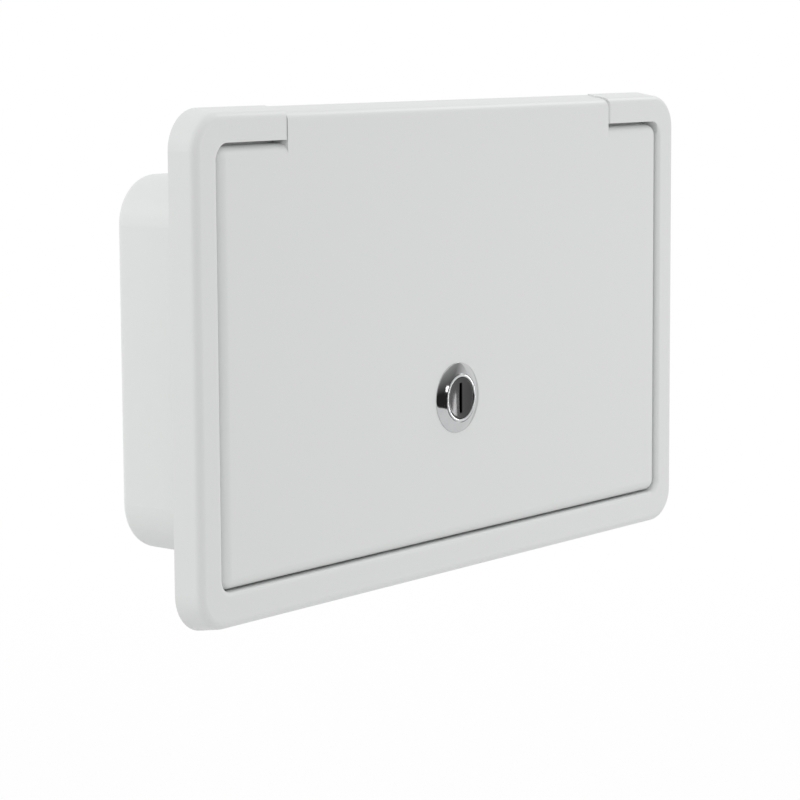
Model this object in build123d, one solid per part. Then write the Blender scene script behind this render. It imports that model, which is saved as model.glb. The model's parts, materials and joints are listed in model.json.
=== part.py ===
from build123d import *
import math
import os

# Recessed access hatch for a camper's outside wall, in millimetres.
# +X is to the right seen from outside, -Y points out of the wall, +Z is up.
# The origin is the centre of the flange's back face, which lies on the wall's skin.

# Flange frame
FLANGE_WIDTH = 251.8
FLANGE_HEIGHT = 150.8
FLANGE_DEPTH = 9.0
FLANGE_CORNER = 12.0
FLANGE_ROUND = 2.5
FLANGE_SLOPE = 1.5
FRAME_WALL = 2.4
SIDE_RAIL = 9.45
BOTTOM_RAIL = 10.25
RECESS_CORNER = 4.0
RECESS_ROUND = 1.5
LEDGE_THICKNESS = 2.8
EAR_HEIGHT = 8.35
EAR_LENGTH = 30.75
EAR_EDGE = 0.5
EAR_UNDERCUT = 1.2
RIB_THICKNESS = 1.6
RIB_PITCH = 24.0

# Tub behind the flange
TUB_SIDE_INSET = 22.5
TUB_TOP_INSET = 20.1
TUB_BOTTOM_INSET = 15.9
TUB_DEPTH = 43.0
TUB_SEAT = 1.0
TUB_SEAT_ROOM = 0.1
TUB_WALL = 2.0
TUB_CORNER = 15.5
TUB_BACK_ROUND = 3.0
TUB_DRAFT = 1.0
STRIKE_LIP = 4.0

# Four fixing screws in the corners of the ledge
SCREW_INSET = 5.4
SCREW_HOLE_RADIUS = 2.1
SCREW_HEAD_RADIUS = 3.7

# Rubber seal round the mouth of the tub
SEAL_WIDTH = 4.5
SEAL_THICKNESS = 1.6
SEAL_MARGIN = 1.5
SEAL_GAP = 0.4

# Door
DOOR_GAP = 0.45
DOOR_SET_BACK = 0.2
DOOR_SKIN = 2.5
DOOR_CORNER = 3.7
DOOR_ROUND = 3.5
DOOR_RIM = 2.0
DOOR_RIB_RISE = 1.2
SHOULDER_GAP = 1.0
SEAM = 0.35

# Hinge
KNUCKLE_RADIUS = 3.0
KNUCKLE_FALL = 2.2
KNUCKLE_SWEEP = 3.4
SOCKET_ROOM = 0.35
SOCKET_DROP = 0.3
KNUCKLE_SKIN = 2.2
WEB_PITCH = 20.0
NECK_HEIGHT = 7.8
PIN_RADIUS = 1.25
PIN_IN_EAR = 10.0
PIN_IN_DOOR = 12.0
PIN_CLEARANCE = 0.05
PIN_END_ROOM = 1.0

# Cam lock
LOCK_ABOVE_EDGE = 44.7
LOCK_LEFT_OF_MIDDLE = 2.0
BEZEL_RADIUS = 11.2
BEZEL_RISE = 1.7
BEZEL_EDGE = 0.35
BEZEL_RIM_RADIUS = 7.6
BARREL_RADIUS = 8.4
BARREL_FLATS = 15.0
BARREL_ROOM = 0.1
BOSS_WIDTH = 5.0
BOSS_RISE = 1.0
NUT_FLATS = 22.0
NUT_THICKNESS = 4.0
PLUG_RADIUS = 6.0
PLUG_HEAD_RADIUS = 6.7
PLUG_HEAD_THICKNESS = 1.2
PLUG_CLEARANCE = 0.05
PLUG_SET_BACK = 0.3
PLUG_DISH = 0.4
PLUG_DISH_RADIUS = 6.2
KEYWAY_HEIGHT = 9.6
KEYWAY_WIDTH = 1.7
KEYWAY_DEPTH = 5.0
TAIL_SIZE = 7.0
CAM_THICKNESS = 1.6
CAM_WIDTH = 13.0
CAM_TIP_WIDTH = 10.0
CAM_GAP = 0.3
CAM_BEHIND_LIP = 1.2
CAM_TIP_ROOM = 1.4
CAM_SCREW_RADIUS = 2.0
CAM_SCREW_HEAD_RADIUS = 4.6
CAM_SCREW_HEAD = 2.4
CAM_SCREW_ROOM = 1.5

# Places that follow from the sizes above
FRAME_FRONT = -FLANGE_DEPTH
LEDGE_FRONT = -LEDGE_THICKNESS
FRAME_TOP = FLANGE_HEIGHT / 2
SLOPE = FLANGE_SLOPE / FLANGE_DEPTH
BLOCK_SLOPE = KNUCKLE_FALL / FLANGE_DEPTH
BLOCK_SLOPE_LENGTH = (1 + BLOCK_SLOPE**2) ** 0.5
FACE_TOP = FRAME_TOP - FLANGE_SLOPE
RECESS_HALF = FLANGE_WIDTH / 2 - FLANGE_SLOPE - SIDE_RAIL
RECESS_BOTTOM = BOTTOM_RAIL - FACE_TOP
EAR_BOTTOM = FACE_TOP - EAR_HEIGHT
TUB_WIDTH = FLANGE_WIDTH - 2 * TUB_SIDE_INSET
TUB_HEIGHT = FLANGE_HEIGHT - TUB_TOP_INSET - TUB_BOTTOM_INSET
TUB_MIDDLE = (TUB_BOTTOM_INSET - TUB_TOP_INSET) / 2
TUB_FLOOR = TUB_BOTTOM_INSET + TUB_WALL - FLANGE_HEIGHT / 2
MOUTH_WIDTH = TUB_WIDTH - 2 * (TUB_WALL + STRIKE_LIP)
MOUTH_HEIGHT = TUB_HEIGHT - 2 * (TUB_WALL + STRIKE_LIP)
MOUTH_CORNER = TUB_CORNER - TUB_WALL - STRIKE_LIP / 2
SEAL_FRONT = LEDGE_FRONT - SEAL_THICKNESS
DOOR_FRONT = FRAME_FRONT + DOOR_SET_BACK
DOOR_INSIDE = DOOR_FRONT + DOOR_SKIN
DOOR_BACK = SEAL_FRONT - SEAL_GAP
DOOR_HALF = RECESS_HALF - DOOR_GAP
DOOR_BOTTOM = RECESS_BOTTOM + DOOR_GAP
DOOR_SHOULDER = EAR_BOTTOM - SHOULDER_GAP
HINGE_HALF = RECESS_HALF - EAR_LENGTH
BLOCK_HALF = HINGE_HALF - SEAM
HINGE_Y = DOOR_FRONT + KNUCKLE_RADIUS
HINGE_Z = FRAME_TOP + BLOCK_SLOPE * HINGE_Y - KNUCKLE_RADIUS * BLOCK_SLOPE_LENGTH
SOCKET_RADIUS = KNUCKLE_SWEEP + SOCKET_ROOM
SCREW_X = RECESS_HALF - SCREW_INSET
SCREW_TOP = EAR_BOTTOM - SCREW_INSET
SCREW_BOTTOM = RECESS_BOTTOM + SCREW_INSET
LOCK_X = -LOCK_LEFT_OF_MIDDLE
LOCK_HEIGHT = DOOR_BOTTOM + LOCK_ABOVE_EDGE
NUT_SEAT = DOOR_INSIDE + BOSS_RISE
CAM_FRONT = CAM_BEHIND_LIP - TUB_SEAT
CAM_BACK = CAM_FRONT + CAM_THICKNESS
BARREL_END = CAM_FRONT - CAM_GAP
BEZEL_FRONT = DOOR_FRONT - BEZEL_RISE
BEZEL_SIDE = DOOR_FRONT - BEZEL_EDGE
DOME_WIDTHS = BEZEL_RADIUS**2 - BEZEL_RIM_RADIUS**2
DOME_CENTRE = (DOME_WIDTHS + BEZEL_SIDE**2 - BEZEL_FRONT**2) / (2 * (BEZEL_SIDE - BEZEL_FRONT))
DOME_RADIUS = math.hypot(BEZEL_RIM_RADIUS, BEZEL_FRONT - DOME_CENTRE)
PLUG_FRONT = BEZEL_FRONT + PLUG_SET_BACK
CAM_REACH = LOCK_HEIGHT - TUB_FLOOR - CAM_TIP_ROOM
CAM_SCREW_START = PLUG_FRONT + KEYWAY_DEPTH + CAM_SCREW_ROOM


def plate(outline, front, back):
    """Extrude an X-Z outline from one depth to another."""
    return extrude(Plane.XZ.offset(-back) * outline, back - front)


def box_outline(left, right, bottom, top, corner):
    """Rounded rectangle between the given edges."""
    place = Pos((left + right) / 2, (bottom + top) / 2)
    return place * RectangleRounded(right - left, top - bottom, corner)


def ring(outer, inner, front, back):
    """Flat ring between two outlines."""
    return plate(outer, front, back) - plate(inner, front - 1, back + 1)


def turned(profile):
    """Revolve a radius-depth profile about the depth axis."""
    face = make_face(Polyline(*profile, close=True))
    return revolve(Plane.XY * face, Axis.Y)


def edges_at_depth(part, depth):
    """Edges that lie in one plane parallel to the wall."""
    return part.edges().filter_by_position(Axis.Y, depth - 0.01, depth + 0.01)


def mouth_outline(margin):
    """Outline of the ledge's opening, grown by a margin."""
    size = RectangleRounded(
        MOUTH_WIDTH + 2 * margin, MOUTH_HEIGHT + 2 * margin, MOUTH_CORNER + margin
    )
    return Pos(0, TUB_MIDDLE) * size


def tub_outline(inset):
    """Outline of the tub where it meets the ledge, shrunk by an inset."""
    size = RectangleRounded(TUB_WIDTH - 2 * inset, TUB_HEIGHT - 2 * inset, TUB_CORNER - inset)
    return Pos(0, TUB_MIDDLE) * size


def sloped_block(inset, depth):
    """Flange-shaped block on the wall face whose sides lean in towards the front."""
    outline = RectangleRounded(
        FLANGE_WIDTH - 2 * inset, FLANGE_HEIGHT - 2 * inset, FLANGE_CORNER - inset
    )
    lean = math.degrees(math.atan(SLOPE))
    return extrude(Plane.XZ * outline, depth, dir=(0, -1, 0), taper=lean)


def channel_pockets():
    """Hollow run at the back of the flange, broken by cross ribs."""
    inner = box_outline(
        -RECESS_HALF - FRAME_WALL,
        RECESS_HALF + FRAME_WALL,
        RECESS_BOTTOM - FRAME_WALL,
        EAR_BOTTOM + FRAME_WALL,
        RECESS_CORNER + FRAME_WALL,
    )
    pocket = sloped_block(FRAME_WALL, FLANGE_DEPTH - FRAME_WALL) - plate(inner, FRAME_FRONT, 1)
    solid_half = HINGE_HALF + PIN_IN_EAR + 2 * PIN_END_ROOM
    ear_rise = FRAME_TOP - EAR_BOTTOM
    pocket -= plate(
        Pos(0, FRAME_TOP - ear_rise / 2) * Rectangle(2 * solid_half, ear_rise),
        FRAME_FRONT,
        1,
    )
    across = int(RECESS_HALF / RIB_PITCH)
    rail = BOTTOM_RAIL + FLANGE_SLOPE
    for step in range(-across, across + 1):
        pocket -= plate(
            Pos(step * RIB_PITCH, RECESS_BOTTOM - rail / 2) * Rectangle(RIB_THICKNESS, rail),
            FRAME_FRONT,
            1,
        )
    upward = int((EAR_BOTTOM - RECESS_BOTTOM) / 2 / RIB_PITCH)
    for step in range(-upward, upward + 1):
        pocket -= plate(
            Pos(0, step * RIB_PITCH) * Rectangle(FLANGE_WIDTH, RIB_THICKNESS),
            FRAME_FRONT,
            1,
        )
    return pocket


def screw_holes():
    """Countersunk fixing holes through the ledge."""
    sink = SCREW_HEAD_RADIUS - SCREW_HOLE_RADIUS
    profile = [
        (0, LEDGE_FRONT - 1),
        (SCREW_HEAD_RADIUS, LEDGE_FRONT - 1),
        (SCREW_HEAD_RADIUS, LEDGE_FRONT),
        (SCREW_HOLE_RADIUS, LEDGE_FRONT + sink),
        (SCREW_HOLE_RADIUS, 1),
        (0, 1),
    ]
    hole = turned(profile)
    spots = [(x, z) for x in (-SCREW_X, SCREW_X) for z in (SCREW_BOTTOM, SCREW_TOP)]
    return [Pos(x, 0, z) * hole for x, z in spots]


def pin_bore(side, radius, start, end):
    """Cylinder along the hinge axis on one side, between two distances from the middle."""
    middle = side * (start + end) / 2
    return Pos(middle, HINGE_Y, HINGE_Z) * Rot(0, 90, 0) * Cylinder(radius, end - start)


def hinge_notch():
    """Room for the door's hinge block between the ears, with a lower round socket behind it."""
    front = FRAME_FRONT - 1
    above = FRAME_TOP + 2
    behind = HINGE_Y + SOCKET_RADIUS
    ahead = Polyline(
        (front, DOOR_SHOULDER), (behind, DOOR_SHOULDER), (behind, HINGE_Z), (HINGE_Y, HINGE_Z),
        (HINGE_Y, above), (front, above), close=True,
    )
    lip = FRAME_TOP - SOCKET_DROP
    over = Polyline(
        (HINGE_Y, lip + BLOCK_SLOPE * HINGE_Y), (1, lip + BLOCK_SLOPE), (1, above), (HINGE_Y, above), close=True,
    )
    face = make_face(ahead) + make_face(over) + Pos(HINGE_Y, HINGE_Z) * Circle(SOCKET_RADIUS)
    return extrude(Plane.YZ.offset(-HINGE_HALF) * face, 2 * HINGE_HALF)


def ear_edge(side):
    """Small bevel on the front edge of one ear's inner end."""
    end = side * HINGE_HALF
    corner = Polyline(
        (end, FRAME_FRONT), (end + side * EAR_EDGE, FRAME_FRONT), (end, FRAME_FRONT + EAR_EDGE), close=True
    )
    return extrude(Plane.XY.offset(EAR_BOTTOM - 1) * make_face(corner), EAR_HEIGHT + 2)


def make_frame():
    """Flange with the door's recess, two hinge ears and the screw ledge."""
    frame = fillet(edges_at_depth(sloped_block(0, FLANGE_DEPTH), FRAME_FRONT), FLANGE_ROUND)
    low_top = EAR_BOTTOM - EAR_UNDERCUT
    low = box_outline(-RECESS_HALF, RECESS_HALF, RECESS_BOTTOM, low_top, RECESS_CORNER)
    frame -= plate(low, FRAME_FRONT - 1, LEDGE_FRONT)
    rim = edges_at_depth(frame, FRAME_FRONT).filter_by(
        lambda edge: abs(edge.center().X) < RECESS_HALF + 0.01
        and RECESS_BOTTOM - 0.01 < edge.center().Z < low_top + 0.01
    )
    frame = fillet(rim, RECESS_ROUND)
    recess = box_outline(-RECESS_HALF, RECESS_HALF, RECESS_BOTTOM, EAR_BOTTOM, RECESS_CORNER)
    frame -= plate(recess, FRAME_FRONT - 1, LEDGE_FRONT)
    frame -= hinge_notch()
    frame -= plate(mouth_outline(0), LEDGE_FRONT - 1, 1)
    frame -= plate(tub_outline(-TUB_SEAT_ROOM), -TUB_SEAT, 1)
    frame -= channel_pockets()
    for hole in screw_holes():
        frame -= hole
    for side in (-1, 1):
        frame -= ear_edge(side)
        frame -= pin_bore(side, PIN_RADIUS, HINGE_HALF - 1, HINGE_HALF + PIN_IN_EAR)
    return frame


def tub_block(inset):
    """Tapered block behind the ledge, smaller all round by an inset."""
    mouth = Plane.XZ.offset(TUB_SEAT) * tub_outline(inset)
    return extrude(mouth, TUB_DEPTH - inset + TUB_SEAT, dir=(0, 1, 0), taper=TUB_DRAFT)


def make_tub():
    """Open-fronted tub with a rounded back, joined to the back of the ledge."""
    outside = tub_block(0)
    return fillet(edges_at_depth(outside, TUB_DEPTH), TUB_BACK_ROUND) - tub_block(TUB_WALL)


def make_seal():
    """Rubber ring on the ledge round the tub's mouth."""
    outer = mouth_outline(SEAL_MARGIN + SEAL_WIDTH)
    return ring(outer, mouth_outline(SEAL_MARGIN), SEAL_FRONT, LEDGE_FRONT)


def knuckle_block():
    """Hinge block along the door's top edge, sloped on top and round about the pins."""
    back = HINGE_Y + KNUCKLE_SWEEP
    low = HINGE_Z + KNUCKLE_RADIUS - NECK_HEIGHT
    foot = DOOR_SHOULDER - 2 * DOOR_ROUND
    brow = (DOOR_FRONT, FRAME_TOP + BLOCK_SLOPE * DOOR_FRONT)
    rear = (back, FRAME_TOP + BLOCK_SLOPE * back)
    side = make_face(Polyline((DOOR_FRONT, foot), brow, rear, (back, low), (DOOR_INSIDE, foot), close=True))
    side = fillet(side.vertices().sort_by_distance((*brow, 0))[0], KNUCKLE_RADIUS)
    reach = 2 * NECK_HEIGHT
    sweep = Pos(HINGE_Y, HINGE_Z) * Circle(KNUCKLE_SWEEP)
    sweep += Pos(HINGE_Y - reach / 2, HINGE_Z) * Rectangle(reach, 2 * reach)
    sweep += Pos(HINGE_Y, HINGE_Z - reach / 2) * Rectangle(2 * reach, reach)
    return extrude(Plane.YZ.offset(-BLOCK_HALF) * (side & sweep), 2 * BLOCK_HALF)


def knuckle_pockets():
    """Hollows cored out of the hinge block from behind, between webs."""
    front = DOOR_FRONT + KNUCKLE_SKIN
    top = FRAME_TOP + BLOCK_SLOPE * front - KNUCKLE_SKIN
    back = HINGE_Y + KNUCKLE_SWEEP
    cored_half = BLOCK_HALF - PIN_IN_DOOR - PIN_END_ROOM - KNUCKLE_SKIN
    opening = Pos(0, (top + DOOR_SHOULDER) / 2) * Rectangle(2 * cored_half, top - DOOR_SHOULDER)
    pocket = plate(opening, front, back + 1)
    webs = int(cored_half / WEB_PITCH)
    for step in range(-webs, webs + 1):
        web = Pos(step * WEB_PITCH, DOOR_SHOULDER) * Rectangle(RIB_THICKNESS, 2 * FRAME_TOP)
        pocket -= plate(web, DOOR_FRONT, back + 2)
    return pocket


def stiffening_ribs():
    """Upright ribs inside the door, between the top and bottom of its sealing rib."""
    tall = MOUTH_HEIGHT + 2 * SEAL_MARGIN + SEAL_WIDTH
    count = int(MOUTH_WIDTH / 2 / RIB_PITCH)
    rib = Rectangle(RIB_THICKNESS, tall)
    spots = [side * (step + 0.5) * RIB_PITCH for side in (-1, 1) for step in range(1, count)]
    return [plate(Pos(x, TUB_MIDDLE) * rib, DOOR_INSIDE, DOOR_INSIDE + DOOR_RIB_RISE) for x in spots]


def double_flat(radius, flats):
    """Circle with two flats, left and right."""
    return Circle(radius) & Rectangle(flats, 2 * radius)


def make_door():
    """Moulded door: skin, rim, sealing rib, stiffening ribs, lock boss and hinge block."""
    outline = box_outline(-DOOR_HALF, DOOR_HALF, DOOR_BOTTOM, DOOR_SHOULDER, DOOR_CORNER)
    door = plate(outline, DOOR_FRONT, DOOR_BACK)
    door = fillet(edges_at_depth(door, DOOR_FRONT), DOOR_ROUND)
    hollow = box_outline(
        DOOR_RIM - DOOR_HALF,
        DOOR_HALF - DOOR_RIM,
        DOOR_BOTTOM + DOOR_RIM,
        DOOR_SHOULDER - DOOR_RIM,
        DOOR_CORNER - DOOR_RIM,
    )
    door -= plate(hollow, DOOR_INSIDE, DOOR_BACK + 1)
    rib_line = SEAL_MARGIN + SEAL_WIDTH / 2
    door += ring(
        mouth_outline(rib_line + RIB_THICKNESS / 2),
        mouth_outline(rib_line - RIB_THICKNESS / 2),
        DOOR_INSIDE,
        DOOR_BACK,
    )
    for rib in stiffening_ribs():
        door += rib
    door += knuckle_block() - knuckle_pockets()
    lock = Pos(LOCK_X, LOCK_HEIGHT)
    door += plate(lock * Circle(BARREL_RADIUS + BOSS_WIDTH), DOOR_INSIDE, NUT_SEAT)
    room = BARREL_RADIUS + BARREL_ROOM
    door -= plate(lock * double_flat(room, BARREL_FLATS + 2 * BARREL_ROOM), DOOR_FRONT - 1, NUT_SEAT + 1)
    for side in (-1, 1):
        deep = BLOCK_HALF - PIN_IN_DOOR - PIN_END_ROOM
        door -= pin_bore(side, PIN_RADIUS + PIN_CLEARANCE, deep, HINGE_HALF)
    return door


def make_pin(side):
    """Steel hinge pin fixed in one ear and running in the door's block."""
    return pin_bore(side, PIN_RADIUS, BLOCK_HALF - PIN_IN_DOOR, HINGE_HALF + PIN_IN_EAR)


def make_lock_housing():
    """Chromed lock body: domed bezel in front of the door and a barrel through it."""
    lock = Pos(LOCK_X, LOCK_HEIGHT)
    barrel = plate(lock * double_flat(BARREL_RADIUS, BARREL_FLATS), DOOR_FRONT, BARREL_END)
    disc = plate(lock * Circle(BEZEL_RADIUS), BEZEL_FRONT, DOOR_FRONT)
    dome = Pos(LOCK_X, DOME_CENTRE, LOCK_HEIGHT) * Sphere(DOME_RADIUS)
    housing = barrel + (disc & dome)
    seat = PLUG_FRONT + PLUG_HEAD_THICKNESS + CAM_GAP
    bore = [
        (0, BEZEL_FRONT - 1),
        (PLUG_HEAD_RADIUS + PLUG_CLEARANCE, BEZEL_FRONT - 1),
        (PLUG_HEAD_RADIUS + PLUG_CLEARANCE, seat),
        (PLUG_RADIUS + PLUG_CLEARANCE, seat),
        (PLUG_RADIUS + PLUG_CLEARANCE, BARREL_END + 1),
        (0, BARREL_END + 1),
    ]
    return housing - Pos(LOCK_X, 0, LOCK_HEIGHT) * turned(bore)


def make_lock_nut():
    """Hexagon nut that clamps the lock to the door."""
    lock = Pos(LOCK_X, LOCK_HEIGHT)
    nut = plate(lock * RegularPolygon(NUT_FLATS / 2, 6, major_radius=False), NUT_SEAT, NUT_SEAT + NUT_THICKNESS)
    return nut - plate(lock * Circle(BARREL_RADIUS), NUT_SEAT - 1, NUT_SEAT + NUT_THICKNESS + 1)


def dish():
    """Shallow round hollow in the plug's face."""
    ball = (PLUG_DISH_RADIUS**2 + PLUG_DISH**2) / (2 * PLUG_DISH)
    return Pos(LOCK_X, PLUG_FRONT + PLUG_DISH - ball, LOCK_HEIGHT) * Sphere(ball)


def make_lock_plug():
    """Turning plug with a keyway in front and a square tail for the cam."""
    neck = PLUG_FRONT + PLUG_HEAD_THICKNESS
    body = [
        (0, PLUG_FRONT),
        (PLUG_HEAD_RADIUS, PLUG_FRONT),
        (PLUG_HEAD_RADIUS, neck),
        (PLUG_RADIUS, neck),
        (PLUG_RADIUS, CAM_FRONT),
        (0, CAM_FRONT),
    ]
    lock = Pos(LOCK_X, LOCK_HEIGHT)
    plug = Pos(LOCK_X, 0, LOCK_HEIGHT) * turned(body) - dish()
    plug += plate(lock * Rectangle(TAIL_SIZE, TAIL_SIZE), CAM_FRONT, CAM_BACK)
    keyway = lock * SlotOverall(KEYWAY_HEIGHT, KEYWAY_WIDTH, rotation=90)
    plug -= plate(keyway, PLUG_FRONT - 1, PLUG_FRONT + KEYWAY_DEPTH)
    plug -= plate(lock * Circle(CAM_SCREW_RADIUS), CAM_SCREW_START, CAM_BACK + 1)
    return plug


def make_cam():
    """Flat cam on the plug's tail, pointing sideways while the door is unlocked."""
    tip = CAM_REACH - CAM_TIP_WIDTH / 2
    outline = make_hull((Circle(CAM_WIDTH / 2) + Pos(tip, 0) * Circle(CAM_TIP_WIDTH / 2)).edges())
    outline -= Rectangle(TAIL_SIZE, TAIL_SIZE)
    return plate(Pos(LOCK_X, LOCK_HEIGHT) * outline, CAM_FRONT, CAM_BACK)


def make_cam_screw():
    """Pan-head screw that holds the cam on the tail."""
    lock = Pos(LOCK_X, LOCK_HEIGHT)
    screw = plate(lock * Circle(CAM_SCREW_RADIUS), CAM_SCREW_START, CAM_BACK)
    return screw + plate(lock * Circle(CAM_SCREW_HEAD_RADIUS), CAM_BACK, CAM_BACK + CAM_SCREW_HEAD)


os.makedirs("parts", exist_ok=True)
pieces = {
    "frame": make_frame(),
    "tub": make_tub(),
    "seal": make_seal(),
    "hinge_pin_left": make_pin(-1),
    "hinge_pin_right": make_pin(1),
    "door": make_door(),
    "lock_housing": make_lock_housing(),
    "lock_nut": make_lock_nut(),
    "lock_plug": make_lock_plug(),
    "cam": make_cam(),
    "cam_screw": make_cam_screw(),
}
for name, piece in pieces.items():
    export_step(piece, f"parts/{name}.step")
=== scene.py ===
import bpy
import bmesh
import json
import math
from mathutils import Matrix, Vector

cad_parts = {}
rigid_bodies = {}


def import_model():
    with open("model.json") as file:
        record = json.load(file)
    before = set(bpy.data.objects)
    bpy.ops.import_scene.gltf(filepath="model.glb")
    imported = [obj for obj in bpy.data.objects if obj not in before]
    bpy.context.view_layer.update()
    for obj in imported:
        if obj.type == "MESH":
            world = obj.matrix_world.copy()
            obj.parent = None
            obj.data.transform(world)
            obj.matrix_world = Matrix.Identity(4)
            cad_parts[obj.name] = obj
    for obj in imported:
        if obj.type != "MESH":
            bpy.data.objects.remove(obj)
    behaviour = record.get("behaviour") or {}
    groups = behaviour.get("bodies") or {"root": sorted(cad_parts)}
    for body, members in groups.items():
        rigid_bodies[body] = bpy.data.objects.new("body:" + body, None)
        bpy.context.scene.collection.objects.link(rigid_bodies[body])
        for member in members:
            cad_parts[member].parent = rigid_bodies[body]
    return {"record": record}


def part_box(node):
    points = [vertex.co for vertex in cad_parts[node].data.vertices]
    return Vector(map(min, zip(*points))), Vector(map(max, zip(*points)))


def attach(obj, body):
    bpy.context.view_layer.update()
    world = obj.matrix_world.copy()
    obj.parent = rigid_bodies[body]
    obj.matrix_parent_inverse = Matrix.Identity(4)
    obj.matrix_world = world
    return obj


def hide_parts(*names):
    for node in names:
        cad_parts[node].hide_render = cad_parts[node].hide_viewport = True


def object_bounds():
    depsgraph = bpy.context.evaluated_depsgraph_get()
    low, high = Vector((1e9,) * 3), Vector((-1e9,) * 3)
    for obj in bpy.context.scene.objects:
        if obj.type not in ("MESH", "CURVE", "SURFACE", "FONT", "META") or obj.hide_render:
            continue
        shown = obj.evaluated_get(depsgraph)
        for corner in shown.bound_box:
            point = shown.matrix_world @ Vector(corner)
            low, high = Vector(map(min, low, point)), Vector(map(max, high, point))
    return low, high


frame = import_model()
cad_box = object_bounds()

# Camera, from the edges of the hatch in the photograph (metres and degrees, lens in millimetres)
CAMERA_PLACE = (-0.70826, -0.53397, 0.09486)
CAMERA_TURN = (82.616, 0.335, -52.225)
CAMERA_LENS = 126.02
SENSOR_WIDTH = 36.0

# Studio (metres, radians and shares of white)
WHITE = (1.0, 1.0, 1.0, 1.0)
FLOOR_DROP = 0.36
FLOOR_SIZE = 12.0
FLOOR_TONE = 0.70
FLOOR_LIFT = 0.94
FLOOR_FADE = (0.5, 2.0)
FLOOR_ROUGHNESS = 0.9
WORLD_LEVEL = 0.865
CARD_RADIUS = 1.45
CARD_RIGHT = math.radians(68)
CARD_SWEEP = math.radians(148)
CARD_STEPS = 36
CARD_TOP = 0.95
CARD_DARK_TOP = 0.0
CARD_DARK = 0.03
CARD_PALE = 0.55
CARD_FADE = (0.80, 1.30)
CARD_DIM = (0.10, 0.60)
CARD_DIM_SHARE = 0.45

# Lamps (metres and watts)
LEFT_LAMP = {"place": (-1.0, 0.9, 0.45), "width": 0.8, "height": 0.8, "power": 3.4}
RIGHT_LAMP = {"place": (1.05, -0.15, 0.85), "width": 0.35, "height": 0.35, "power": 1.4}
FILL_LAMP = {"place": (1.07, -0.81, -0.18), "width": 0.9, "height": 0.9, "power": 0.85}
FRONT_LAMP = {"place": (0.56, -1.25, 0.07), "width": 0.15, "height": 0.15, "power": 0.35}
STRIP_LAMP = {"place": (1.08, -0.72, -0.11), "width": 0.045, "height": 0.2, "power": 0.18}

# Finishes, as linear colours
PLASTIC_TONE = (0.777, 0.792, 0.784)
CHROME_TONE = (0.52, 0.525, 0.53)
# Plug tone is darker than the bare metal: painted shade that stands in for the dark surroundings its face
# reflects
PLUG_PAINTED_DARK_TONE = (0.055, 0.055, 0.056)
STEEL_TONE = (0.56, 0.57, 0.58)
ZINC_TONE = (0.60, 0.59, 0.55)
RUBBER_TONE = (0.022, 0.022, 0.023)

# Surface detail: pattern scales, spreads of tone and gloss, and strength and distance of the relief
GRAIN_SCALE = 2600.0
FLOW_SCALE = 14.0
FLOW_TINT = (0.988, 1.012)
FLOW_GLOSS = 0.05
LINE_SCALE = 900.0
LINE_STRETCH = 0.1
SMEAR_SCALE = 260.0
SMEAR_TINT = (0.92, 1.06)
PLASTIC_RELIEF = (0.06, 0.0002)
RUBBER_RELIEF = (0.35, 0.0004)
CHROME_RELIEF = (0.01, 0.0001)
METAL_RELIEF = (0.05, 0.0001)
FINISH_OUTPUTS = [
    ("Colour", "NodeSocketColor"),
    ("Roughness", "NodeSocketFloat"),
    ("Height", "NodeSocketFloat"),
]

# Units in metres, the angle kept sharp, and mesh steps
MM = 0.001
MERGE = 1e-6
SMOOTH_ANGLE = math.radians(34)
TURN_STEPS = 96
DISC_RINGS = 12
EDGE_STEPS = 3
BEND_STEPS = 8
SLOT_STEPS = 2
CORNER_STEPS = 12
SEAL_STEPS = 4

# Lock details (millimetres)
RING_OUTER = 7.6
RING_STEP = 0.2
GROOVE_WIDTH = 0.25
GROOVE_DEPTH = 0.55
RING_ROUND = 0.16
DOME_BEND_RADIUS = 9.6
DOME_BEND_DROP = 0.70
DOME_BEND_WIDTH = 1.3
BEZEL_EDGE = 0.2
BARREL_RADIUS = 8.4
BARREL_BORE = 6.05
BARREL_FLATS = 15.0
THREAD_PITCH = 1.0
THREAD_DEPTH = 0.45
PLUG_ROOM = 0.07
FACE_PROUD = 0.05
FACE_SIDE = 0.35
FACE_ROUND = 0.2
SLOT_HALF_HEIGHT = 4.8
SLOT_HALF_WIDTH = 0.6
SLOT_DEPTH = 3.5
SLOT_ROUND = 0.15
POCKET_HALF_WIDTH = 1.4
POCKET_HALF_HEIGHT = 5.3
POCKET_DEPTH = 3.8
DISH_RADIUS = 6.2
DISH_DEPTH = 0.2
NUT_BEVEL = 0.5
SCREW_RADIUS = 2.0
HEAD_DOME = 0.7
HEAD_SIDE = 1.2
CROSS_HALF_WIDTH = 0.55
CROSS_HALF_LENGTH = 2.4
CROSS_DEPTH = 1.2

# Seal (millimetres and radians)
SEAL_WIDTH = 4.5
SEAL_CORNER = 17.5
SEAL_ROUND = 0.75
LIP_ANGLE = 1.0


def add_node(tree, kind, **inputs):
    """New shader node with the given input values or links."""
    node = tree.nodes.new(kind)
    for name, value in inputs.items():
        set_input(tree, node, name.replace("_", " "), value)
    return node


def set_input(tree, node, name, value):
    """Set one input of a node, or link it where the value is a socket."""
    socket = node.inputs[name]
    if isinstance(value, bpy.types.NodeSocket):
        tree.links.new(value, socket)
    else:
        socket.default_value = value


def math_node(tree, operation, *values):
    """Math node with each of its inputs set or linked."""
    node = tree.nodes.new("ShaderNodeMath")
    node.operation = operation
    for index, value in enumerate(values):
        set_input(tree, node, index, value)
    return node.outputs["Value"]


def new_group(name, inputs, outputs):
    """Empty shader node group with float or colour sockets."""
    group = bpy.data.node_groups.new(name, "ShaderNodeTree")
    for label, kind, value in inputs:
        socket = group.interface.new_socket(label, in_out="INPUT", socket_type=kind)
        socket.default_value = value
    for label, kind in outputs:
        group.interface.new_socket(label, in_out="OUTPUT", socket_type=kind)
    return group, group.nodes.new("NodeGroupInput"), group.nodes.new("NodeGroupOutput")


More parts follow.
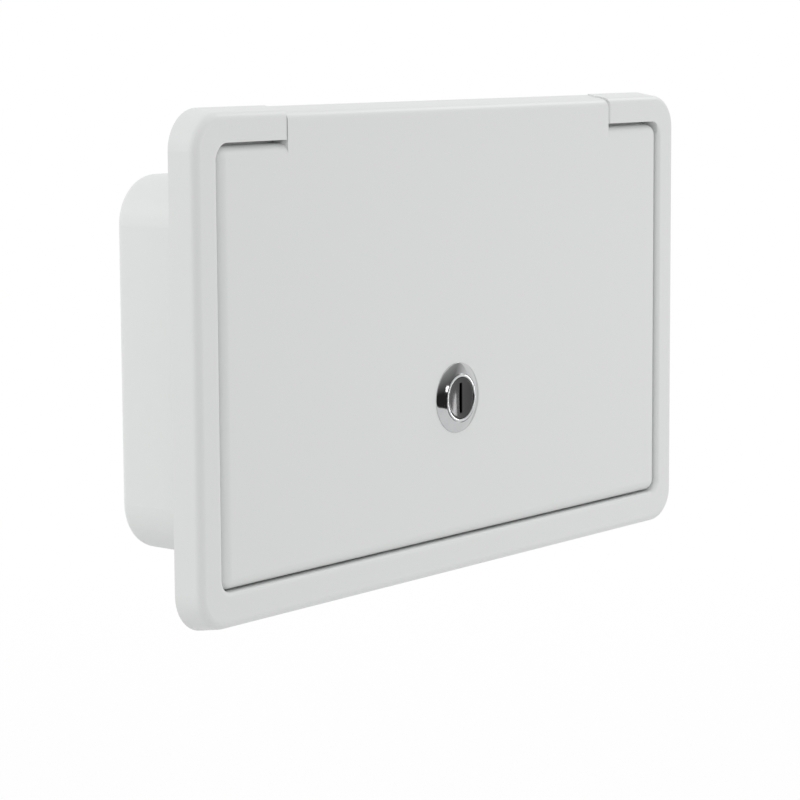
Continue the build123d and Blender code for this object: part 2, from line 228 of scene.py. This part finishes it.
def tinted(group, tone_socket, factor_socket):
    """Colour scaled by a factor that changes over the surface."""
    scale = group.nodes.new("ShaderNodeVectorMath")
    scale.operation = "SCALE"
    group.links.new(tone_socket, scale.inputs[0])
    group.links.new(factor_socket, scale.inputs["Scale"])
    return scale.outputs["Vector"]


def moulded_skin_group():
    """Fine spark-eroded grain and faint flow marks of moulded plastic."""
    group, given, made = new_group(
        "moulded_skin",
        [
            ("Tone", "NodeSocketColor", (0.7, 0.7, 0.7, 1.0)),
            ("Grain Size", "NodeSocketFloat", GRAIN_SCALE),
            ("Gloss", "NodeSocketFloat", 0.40),
        ],
        FINISH_OUTPUTS,
    )
    place = add_node(group, "ShaderNodeTexCoord").outputs["Object"]
    grain_size = given.outputs["Grain Size"]
    grain = add_node(group, "ShaderNodeTexNoise", Vector=place, Scale=grain_size, Detail=2.0)
    flow = add_node(group, "ShaderNodeTexNoise", Vector=place, Scale=FLOW_SCALE, Detail=3.0, Roughness=0.6)
    marks = flow.outputs["Fac"]
    darkest, palest = FLOW_TINT
    tint = add_node(group, "ShaderNodeMapRange", Value=marks, To_Min=darkest, To_Max=palest)
    spread = add_node(group, "ShaderNodeMapRange", Value=marks, To_Min=-FLOW_GLOSS, To_Max=FLOW_GLOSS)
    rough = math_node(group, "ADD", given.outputs["Gloss"], spread.outputs["Result"])
    group.links.new(tinted(group, given.outputs["Tone"], tint.outputs["Result"]), made.inputs["Colour"])
    group.links.new(rough, made.inputs["Roughness"])
    group.links.new(grain.outputs["Fac"], made.inputs["Height"])
    return group


def worked_metal_group():
    """Fine rubbed lines and faint smears on metal."""
    group, given, made = new_group(
        "worked_metal",
        [
            ("Tone", "NodeSocketColor", (0.6, 0.6, 0.6, 1.0)),
            ("Line Size", "NodeSocketFloat", LINE_SCALE),
            ("Gloss", "NodeSocketFloat", 0.3),
            ("Smear", "NodeSocketFloat", 0.08),
        ],
        FINISH_OUTPUTS,
    )
    place = add_node(group, "ShaderNodeTexCoord").outputs["Object"]
    stretch = add_node(group, "ShaderNodeMapping", Vector=place, Scale=(1.0, 1.0, LINE_STRETCH))
    along = stretch.outputs["Vector"]
    line_size = given.outputs["Line Size"]
    lines = add_node(group, "ShaderNodeTexNoise", Vector=along, Scale=line_size, Detail=2.0)
    smear = add_node(group, "ShaderNodeTexNoise", Vector=place, Scale=SMEAR_SCALE, Detail=3.0)
    marks = smear.outputs["Fac"]
    darkest, palest = SMEAR_TINT
    tint = add_node(group, "ShaderNodeMapRange", Value=marks, To_Min=darkest, To_Max=palest)
    rough = math_node(group, "MULTIPLY_ADD", marks, given.outputs["Smear"], given.outputs["Gloss"])
    group.links.new(tinted(group, given.outputs["Tone"], tint.outputs["Result"]), made.inputs["Colour"])
    group.links.new(rough, made.inputs["Roughness"])
    group.links.new(lines.outputs["Fac"], made.inputs["Height"])
    return group


def tone(colour):
    """Colour with full alpha."""
    return (*colour, 1.0)


def finish_material(name, group, values, relief, metallic=0.0):
    """Material that feeds one finish group into a Principled shader."""
    material = bpy.data.materials.new(name)
    material.use_nodes = True
    tree = material.node_tree
    shader = tree.nodes["Principled BSDF"]
    skin = tree.nodes.new("ShaderNodeGroup")
    skin.node_tree = group
    for label, value in values.items():
        skin.inputs[label].default_value = value
    strength, distance = relief
    height = skin.outputs["Height"]
    bump = add_node(tree, "ShaderNodeBump", Strength=strength, Distance=distance, Height=height)
    tree.links.new(skin.outputs["Colour"], shader.inputs["Base Color"])
    tree.links.new(skin.outputs["Roughness"], shader.inputs["Roughness"])
    tree.links.new(bump.outputs["Normal"], shader.inputs["Normal"])
    shader.inputs["Metallic"].default_value = metallic
    return material


def make_materials():
    """One finish for each kind of surface on the hatch, named as the record's slots."""
    skin = moulded_skin_group()
    metal = worked_metal_group()
    plastic = {"Tone": tone(PLASTIC_TONE), "Gloss": 0.42}
    rubber = {"Tone": tone(RUBBER_TONE), "Grain Size": 1500.0, "Gloss": 0.75}
    chrome = {"Tone": tone(CHROME_TONE), "Gloss": 0.05, "Smear": 0.05}
    # plug finish uses the darkened tone: painted shade for the dark reflections on the plug's face
    plug = {"Tone": tone(PLUG_PAINTED_DARK_TONE), "Gloss": 0.06, "Smear": 0.04}
    zinc = {"Tone": tone(ZINC_TONE), "Gloss": 0.30, "Smear": 0.15}
    steel = {"Tone": tone(STEEL_TONE), "Gloss": 0.25}
    tub = {**plastic, "Gloss": 0.50}
    return {
        "frame_plastic": finish_material("frame_plastic", skin, plastic, PLASTIC_RELIEF),
        "tub_plastic": finish_material("tub_plastic", skin, tub, PLASTIC_RELIEF),
        "door_plastic": finish_material("door_plastic", skin, plastic, PLASTIC_RELIEF),
        "seal_rubber": finish_material("seal_rubber", skin, rubber, RUBBER_RELIEF),
        "lock_chrome": finish_material("lock_chrome", metal, chrome, CHROME_RELIEF, metallic=1.0),
        "plug_metal": finish_material("plug_metal", metal, plug, METAL_RELIEF, metallic=1.0),
        "cam_steel": finish_material("cam_steel", metal, zinc, METAL_RELIEF, metallic=1.0),
        "pin_steel": finish_material("pin_steel", metal, steel, METAL_RELIEF, metallic=1.0),
    }


def dress_nodes(materials):
    """Give every carried-over piece the finish of its slot."""
    for row in frame["record"]["subparts"]:
        piece = bpy.data.objects[row["node"]]
        piece.data.materials.clear()
        piece.data.materials.append(materials[row["material_slot"]])


def add_piece(name, shape, body, slot, *replaced):
    """Finished object from a bmesh, riding on a body in the finish of a slot."""
    bmesh.ops.remove_doubles(shape, verts=shape.verts, dist=MERGE)
    bmesh.ops.recalc_face_normals(shape, faces=shape.faces)
    mesh = bpy.data.meshes.new(name)
    shape.to_mesh(mesh)
    shape.free()
    for face in mesh.polygons:
        face.use_smooth = True
    mesh.set_sharp_from_angle(angle=SMOOTH_ANGLE)
    mesh.materials.append(materials[slot])
    piece = bpy.data.objects.new(name, mesh)
    bpy.context.scene.collection.objects.link(piece)
    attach(piece, body)
    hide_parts(*replaced)
    return piece


def node_span(node):
    """Lowest and highest corner of a node in millimetres."""
    low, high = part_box(node)
    return [value / MM for value in low], [value / MM for value in high]


def lathe(corners):
    """Shape turned about the lock's axis from a closed run of radius and depth corners."""
    shape = bmesh.new()
    spots = [((lock_x + radius) * MM, depth * MM, lock_z * MM) for radius, depth in corners]
    verts = [shape.verts.new(spot) for spot in spots]
    for start, end in zip(verts, verts[1:] + verts[:1]):
        shape.edges.new((start, end))
    bmesh.ops.spin(
        shape,
        geom=shape.verts[:] + shape.edges[:],
        cent=(lock_x * MM, 0, lock_z * MM),
        axis=(0, 1, 0),
        dvec=(0, 0, 0),
        angle=2 * math.pi,
        steps=TURN_STEPS,
        use_merge=True,
    )
    bmesh.ops.remove_doubles(shape, verts=shape.verts, dist=MERGE)
    return shape


def round_edges(shape, edges, width, segments):
    """Round the given edges."""
    bmesh.ops.bevel(
        shape, geom=edges, offset=width * MM, segments=segments, profile=0.5, affect="EDGES", material=-1
    )


def round_ring(shape, radius, depth, width, segments):
    """Round one turned corner."""
    def on_ring(vert):
        out = math.hypot(vert.co.x - lock_x * MM, vert.co.z - lock_z * MM)
        return abs(out - radius * MM) < MERGE and abs(vert.co.y - depth * MM) < MERGE

    round_edges(shape, [edge for edge in shape.edges if all(map(on_ring, edge.verts))], width, segments)


def parts_of(geometry, kind):
    """Items of one kind from the result of a mesh operator."""
    return [item for item in geometry if isinstance(item, kind)]


def pierced_disc(radius, hole_point):
    """Flat disc with a hole whose outline follows a function of the angle."""
    shape = bmesh.new()
    bmesh.ops.create_circle(shape, segments=TURN_STEPS, radius=radius * MM)
    rim = shape.edges[:]
    bmesh.ops.create_circle(shape, segments=TURN_STEPS, radius=MM)
    hole = [edge for edge in shape.edges if edge not in rim]
    for vert in {vert for edge in hole for vert in edge.verts}:
        vert.co.x, vert.co.y = (value * MM for value in hole_point(math.atan2(vert.co.y, vert.co.x)))
    spokes = bmesh.ops.bridge_loops(shape, edges=shape.edges[:])["edges"]
    bmesh.ops.subdivide_edges(shape, edges=spokes, cuts=DISC_RINGS, use_grid_fill=True)
    return shape, rim, hole


def grow_edges(shape, edges):
    """New faces from a run of edges, as their new corners and the edges between those."""
    grown = bmesh.ops.extrude_edge_only(shape, edges=edges)["geom"]
    corners = parts_of(grown, bmesh.types.BMVert)
    sides = parts_of(grown, bmesh.types.BMEdge)
    border = [edge for edge in sides if all(vert in corners for vert in edge.verts)]
    return corners, border


def drop_wall(shape, edges, depth):
    """Wall from a run of edges down to one depth, and the edges at its foot."""
    corners, foot = grow_edges(shape, edges)
    for vert in corners:
        vert.co.z = -depth * MM
    return foot


def draw_in(shape, edges, wide, tall):
    """Flat ring from a run of edges in to a scaled copy of it, and the copy's edges."""
    corners, inner = grow_edges(shape, edges)
    bmesh.ops.scale(shape, vec=(wide, tall, 1.0), verts=corners)
    return inner


def face_lock_axis(shape, depth, turn):
    """Turn a flat shape upright and set it on the lock's axis at one depth."""
    place = Matrix.Translation((lock_x * MM, depth * MM, lock_z * MM)) @ Matrix.Rotation(turn, 4, "X")
    bmesh.ops.transform(shape, matrix=place, verts=shape.verts)


def make_bezel():
    """Chromed bezel: thin edge, domed slope and a raised ring round the plug."""
    low, high = node_span("lock_housing")
    face = low[1]
    radius = (high[0] - low[0]) / 2
    step = face + RING_STEP
    bend = face + DOME_BEND_DROP
    edge = door_face - BEZEL_EDGE
    corners = [
        (bore, face),
        (RING_OUTER, face),
        (RING_OUTER, face + GROOVE_DEPTH),
        (RING_OUTER + GROOVE_WIDTH, face + GROOVE_DEPTH),
        (RING_OUTER + GROOVE_WIDTH, step),
        (DOME_BEND_RADIUS, bend),
        (radius, edge),
        (radius, door_face),
        (bore, door_face),
    ]
    shape = lathe(corners)
    round_ring(shape, bore, face, RING_ROUND, EDGE_STEPS)
    round_ring(shape, RING_OUTER, face, RING_ROUND, EDGE_STEPS)
    round_ring(shape, DOME_BEND_RADIUS, bend, DOME_BEND_WIDTH, BEND_STEPS)
    round_ring(shape, radius, edge, BEZEL_EDGE / 2, EDGE_STEPS)
    add_piece("lock_bezel", shape, "door", "lock_chrome", "lock_housing")


def make_barrel():
    """Threaded barrel with two flats behind the bezel."""
    end = node_span("lock_housing")[1][1]
    root = BARREL_RADIUS - THREAD_DEPTH
    corners = [(BARREL_BORE, end), (BARREL_BORE, door_face), (root, door_face)]
    for turn in range(int((end - door_face) / THREAD_PITCH)):
        start = door_face + turn * THREAD_PITCH
        corners.append((BARREL_RADIUS, start + THREAD_PITCH / 2))
        corners.append((root, start + THREAD_PITCH))
    corners.append((root, end))
    shape = lathe(corners)
    for side in (-1, 1):
        cut = bmesh.ops.bisect_plane(
            shape,
            geom=shape.verts[:] + shape.edges[:] + shape.faces[:],
            plane_co=((lock_x + side * BARREL_FLATS / 2) * MM, 0, 0),
            plane_no=(side, 0, 0),
            clear_outer=True,
        )
        bmesh.ops.holes_fill(shape, edges=parts_of(cut["geom_cut"], bmesh.types.BMEdge), sides=0)
    add_piece("lock_barrel", shape, "door", "lock_chrome", "lock_housing")


def slot_point(angle):
    """Point of the upright key slot's outline."""
    x = SLOT_HALF_HEIGHT * math.cos(angle)
    y = SLOT_HALF_HEIGHT * math.sin(angle)
    return min(max(x, -SLOT_HALF_WIDTH), SLOT_HALF_WIDTH), y


def make_plug_face():
    """Face of the plug: rounded rim, dished middle and the key slot."""
    shape, rim, slot = pierced_disc(face_radius, slot_point)
    for vert in shape.verts:
        share = 1.0 - (vert.co.xy.length / MM / DISH_RADIUS) ** 2
        vert.co.z -= DISH_DEPTH * MM * max(share, 0.0)
    bmesh.ops.contextual_create(shape, geom=drop_wall(shape, slot, SLOT_DEPTH))
    seat = drop_wall(shape, rim, FACE_SIDE)
    pocket = draw_in(shape, seat, POCKET_HALF_WIDTH / face_radius, POCKET_HALF_HEIGHT / face_radius)
    bmesh.ops.contextual_create(shape, geom=drop_wall(shape, pocket, POCKET_DEPTH))
    round_edges(shape, rim, FACE_ROUND, EDGE_STEPS)
    round_edges(shape, slot, SLOT_ROUND, SLOT_STEPS)
    face_lock_axis(shape, node_span("lock_plug")[0][1] - FACE_PROUD, math.pi / 2)
    add_piece("plug_face", shape, "lock_plug", "plug_metal")


def cross_point(angle):
    """Point of the screwdriver cross's outline."""
    run = abs(math.cos(angle))
    rise = abs(math.sin(angle))
    wide = min(CROSS_HALF_LENGTH / max(run, MERGE), CROSS_HALF_WIDTH / max(rise, MERGE))
    tall = min(CROSS_HALF_WIDTH / max(run, MERGE), CROSS_HALF_LENGTH / max(rise, MERGE))
    reach = max(wide, tall)
    return reach * math.cos(angle), reach * math.sin(angle)


def make_cam_screw():
    """Domed screw head with a cross in it, and its shank through the cam."""
    low, high = node_span("cam_screw")
    radius = (high[0] - low[0]) / 2
    shape, rim, cross = pierced_disc(radius, cross_point)
    for vert in shape.verts:
        vert.co.z -= HEAD_DOME * MM * (vert.co.xy.length / MM / radius) ** 2
    bmesh.ops.contextual_create(shape, geom=drop_wall(shape, cross, CROSS_DEPTH))
    seat = drop_wall(shape, rim, HEAD_DOME + HEAD_SIDE)
    neck = draw_in(shape, seat, SCREW_RADIUS / radius, SCREW_RADIUS / radius)
    bmesh.ops.contextual_create(shape, geom=drop_wall(shape, neck, high[1] - low[1]))
    face_lock_axis(shape, high[1], -math.pi / 2)
    add_piece("cross_screw", shape, "lock_plug", "cam_steel", "cam_screw")


def make_nut():
    """Hexagon nut with bevelled corners behind the door."""
    low, high = node_span("lock_nut")
    flats = high[2] - low[2]
    thick = high[1] - low[1]
    shape = bmesh.new()
    corner_first = Matrix.Rotation(math.pi / 2, 4, "Z")
    bmesh.ops.create_circle(shape, segments=6, radius=flats / math.sqrt(3) * MM, matrix=corner_first)
    bmesh.ops.subdivide_edges(shape, edges=shape.edges[:], cuts=TURN_STEPS // 6 - 1)
    bmesh.ops.create_circle(shape, segments=TURN_STEPS, radius=BARREL_RADIUS * MM, matrix=corner_first)
    bmesh.ops.bridge_loops(shape, edges=shape.edges[:])
    faces = bmesh.ops.extrude_face_region(shape, geom=shape.faces[:])["geom"]
    bmesh.ops.translate(shape, vec=(0, 0, thick * MM), verts=parts_of(faces, bmesh.types.BMVert))
    for vert in shape.verts:
        beyond = max(vert.co.xy.length - flats / 2 * MM, 0.0) * NUT_BEVEL
        vert.co.z += beyond if vert.co.z < thick / 2 * MM else -beyond
    face_lock_axis(shape, high[1], math.pi / 2)
    add_piece("hex_nut", shape, "door", "cam_steel", "lock_nut")


def make_seal():
    """Soft strip with a rounded face round the tub's mouth."""
    low, high = node_span("seal")
    shape = bmesh.new()
    bmesh.ops.create_grid(shape, x_segments=1, y_segments=1, size=0.5)
    bmesh.ops.scale(shape, vec=((high[0] - low[0]) * MM, (high[2] - low[2]) * MM, 1.0), verts=shape.verts)
    bmesh.ops.bevel(
        shape,
        geom=shape.verts[:],
        offset=SEAL_CORNER * MM,
        segments=CORNER_STEPS,
        profile=0.5,
        affect="VERTICES",
        material=-1,
    )
    middle = shape.faces[:]
    bmesh.ops.inset_region(
        shape, faces=middle, thickness=SEAL_WIDTH * MM, use_boundary=True, use_even_offset=True
    )
    bmesh.ops.delete(shape, geom=middle, context="FACES")
    raised = bmesh.ops.extrude_face_region(shape, geom=shape.faces[:])["geom"]
    top = parts_of(raised, bmesh.types.BMVert)
    bmesh.ops.translate(shape, vec=(0, 0, (high[1] - low[1]) * MM), verts=top)
    lips = [edge for edge in shape.edges if all(vert in top for vert in edge.verts)]
    lips = [edge for edge in lips if edge.calc_face_angle(0.0) > LIP_ANGLE]
    round_edges(shape, lips, SEAL_ROUND, SEAL_STEPS)
    middle_z = (low[2] + high[2]) / 2
    turn = Matrix.Translation((0, high[1] * MM, middle_z * MM)) @ Matrix.Rotation(math.pi / 2, 4, "X")
    bmesh.ops.transform(shape, matrix=turn, verts=shape.verts)
    add_piece("seal_strip", shape, "frame", "seal_rubber", "seal")


def plain_material(name, colour):
    """Unmarked matt material for the floor."""
    material = bpy.data.materials.new(name)
    material.use_nodes = True
    shader = material.node_tree.nodes["Principled BSDF"]
    shader.inputs["Base Color"].default_value = tone((colour,) * 3)
    shader.inputs["Roughness"].default_value = FLOOR_ROUGHNESS
    return material


def stage_piece(name, shape):
    """Object of the studio from a bmesh."""
    mesh = bpy.data.meshes.new(name)
    shape.to_mesh(mesh)
    shape.free()
    piece = bpy.data.objects.new(name, mesh)
    bpy.context.scene.collection.objects.link(piece)
    return piece


def seen_white(tree):
    """Factor that is 1 for rays that show the background in the picture, in metal and in glass."""
    path = tree.nodes.new("ShaderNodeLightPath")
    seen = math_node(tree, "MAXIMUM", path.outputs["Is Camera Ray"], path.outputs["Is Glossy Ray"])
    return math_node(tree, "MAXIMUM", seen, path.outputs["Is Transmission Ray"])


def make_world():
    """Even white surroundings, seen as plain white."""
    world = bpy.data.worlds.new("studio")
    bpy.context.scene.world = world
    world.use_nodes = True
    tree = world.node_tree
    light = tree.nodes["Background"]
    light.inputs["Strength"].default_value = WORLD_LEVEL
    light.inputs["Color"].default_value = WHITE
    white = add_node(tree, "ShaderNodeBackground", Color=WHITE, Strength=1.0)
    mix = tree.nodes.new("ShaderNodeMixShader")
    tree.links.new(seen_white(tree), mix.inputs["Fac"])
    tree.links.new(light.outputs["Background"], mix.inputs[1])
    tree.links.new(white.outputs["Background"], mix.inputs[2])
    tree.links.new(mix.outputs["Shader"], tree.nodes["World Output"].inputs["Surface"])


def make_floor():
    """Plain pale floor that shows as white, keeps a trace of the shadow and is clear from below."""
    shape = bmesh.new()
    bmesh.ops.create_grid(shape, x_segments=1, y_segments=1, size=FLOOR_SIZE / 2)
    bmesh.ops.translate(shape, vec=(0, 0, cad_box[0][2] - FLOOR_DROP), verts=shape.verts)
    floor = stage_piece("floor", shape)
    material = plain_material("floor_paint", FLOOR_TONE)
    tree = material.node_tree
    lift = tree.nodes.new("ShaderNodeEmission")
    mix = tree.nodes.new("ShaderNodeMixShader")
    place = tree.nodes.new("ShaderNodeTexCoord")
    away = tree.nodes.new("ShaderNodeVectorMath")
    away.operation = "LENGTH"
    tree.links.new(place.outputs["Object"], away.inputs[0])
    near, far = FLOOR_FADE
    fade = add_node(
        tree,
        "ShaderNodeMapRange",
        Value=away.outputs["Value"],
        From_Min=near,
        From_Max=far,
        To_Min=FLOOR_LIFT,
        To_Max=1.0,
    )
    tree.links.new(math_node(tree, "MULTIPLY", seen_white(tree), fade.outputs["Result"]), mix.inputs["Fac"])
    tree.links.new(tree.nodes["Principled BSDF"].outputs["BSDF"], mix.inputs[1])
    tree.links.new(lift.outputs["Emission"], mix.inputs[2])
    clear = tree.nodes.new("ShaderNodeBsdfTransparent")
    one_way = tree.nodes.new("ShaderNodeMixShader")
    under = tree.nodes.new("ShaderNodeNewGeometry").outputs["Backfacing"]
    tree.links.new(under, one_way.inputs["Fac"])
    tree.links.new(mix.outputs["Shader"], one_way.inputs[1])
    tree.links.new(clear.outputs["BSDF"], one_way.inputs[2])
    tree.links.new(one_way.outputs["Shader"], tree.nodes["Material Output"].inputs["Surface"])
    floor.data.materials.append(material)


def make_card():
    """Dark surroundings in front of the hatch, paler up and to the right, that only shiny surfaces show."""
    shape = bmesh.new()
    low = cad_box[0][2] - FLOOR_DROP
    spot = Matrix.Rotation(CARD_RIGHT, 4, "Z") @ Vector((0.0, -CARD_RADIUS, 0.0))
    verts = [shape.verts.new((spot.x, spot.y, height)) for height in (low, CARD_TOP)]
    edge = shape.edges.new(verts)
    bmesh.ops.spin(
        shape,
        geom=[*verts, edge],
        cent=(0, 0, 0),
        axis=(0, 0, 1),
        dvec=(0, 0, 0),
        angle=-CARD_SWEEP,
        steps=CARD_STEPS,
    )
    card = stage_piece("dark_card", shape)
    card.visible_camera = False
    card.visible_diffuse = False
    card.visible_shadow = False
    material = bpy.data.materials.new("card_paint")
    material.use_nodes = True
    tree = material.node_tree
    place = tree.nodes.new("ShaderNodeTexCoord")
    split = add_node(tree, "ShaderNodeSeparateXYZ", Vector=place.outputs["Object"])
    rise = add_node(
        tree,
        "ShaderNodeMapRange",
        Value=split.outputs["Z"],
        From_Min=CARD_DARK_TOP,
        From_Max=CARD_TOP,
        To_Min=CARD_DARK,
        To_Max=CARD_PALE,
    )
    dark_end, pale_start = CARD_FADE
    across = split.outputs["X"]
    side = add_node(tree, "ShaderNodeMapRange", Value=across, From_Min=dark_end, From_Max=pale_start)
    dim_start, dim_end = CARD_DIM
    dim = add_node(
        tree,
        "ShaderNodeMapRange",
        Value=split.outputs["Z"],
        From_Min=dim_start,
        From_Max=dim_end,
        To_Min=1.0,
        To_Max=CARD_DIM_SHARE,
    )
    pale = math_node(tree, "MULTIPLY", side.outputs["Result"], dim.outputs["Result"])
    shade = math_node(tree, "MAXIMUM", rise.outputs["Result"], pale)
    glow = add_node(tree, "ShaderNodeEmission", Color=shade)
    tree.links.new(glow.outputs["Emission"], tree.nodes["Material Output"].inputs["Surface"])
    card.data.materials.append(material)


def make_lamp(name, place, width, height, power):
    """Round or oval soft lamp aimed at the middle of the hatch."""
    data = bpy.data.lights.new(name, "AREA")
    data.shape = "ELLIPSE"
    data.size = width
    data.size_y = height
    data.energy = power
    lamp = bpy.data.objects.new(name, data)
    lamp.location = place
    lamp.rotation_euler = (-Vector(place)).to_track_quat("-Z", "Y").to_euler()
    bpy.context.scene.collection.objects.link(lamp)


def make_camera():
    """Camera at the photograph's viewpoint."""
    data = bpy.data.cameras.new("camera")
    data.sensor_width = SENSOR_WIDTH
    data.lens = CAMERA_LENS
    camera = bpy.data.objects.new("camera", data)
    camera.location = CAMERA_PLACE
    camera.rotation_euler = [math.radians(angle) for angle in CAMERA_TURN]
    bpy.context.scene.collection.objects.link(camera)
    bpy.context.scene.camera = camera


materials = make_materials()
dress_nodes(materials)
door_face = node_span("door")[0][1]
plug_low, plug_high = node_span("lock_plug")
lock_x = (plug_low[0] + plug_high[0]) / 2
lock_z = (plug_low[2] + plug_high[2]) / 2
face_radius = (plug_high[0] - plug_low[0]) / 2 - PLUG_ROOM / 2
bore = face_radius + PLUG_ROOM
make_bezel()
make_barrel()
make_plug_face()
make_cam_screw()
make_nut()
make_seal()

make_world()
make_floor()
make_card()
make_lamp("left_lamp", **LEFT_LAMP)
make_lamp("right_lamp", **RIGHT_LAMP)
make_lamp("fill_lamp", **FILL_LAMP)
make_lamp("front_lamp", **FRONT_LAMP)
make_lamp("strip_lamp", **STRIP_LAMP)
make_camera()
bpy.context.scene.view_settings.view_transform = "Standard"
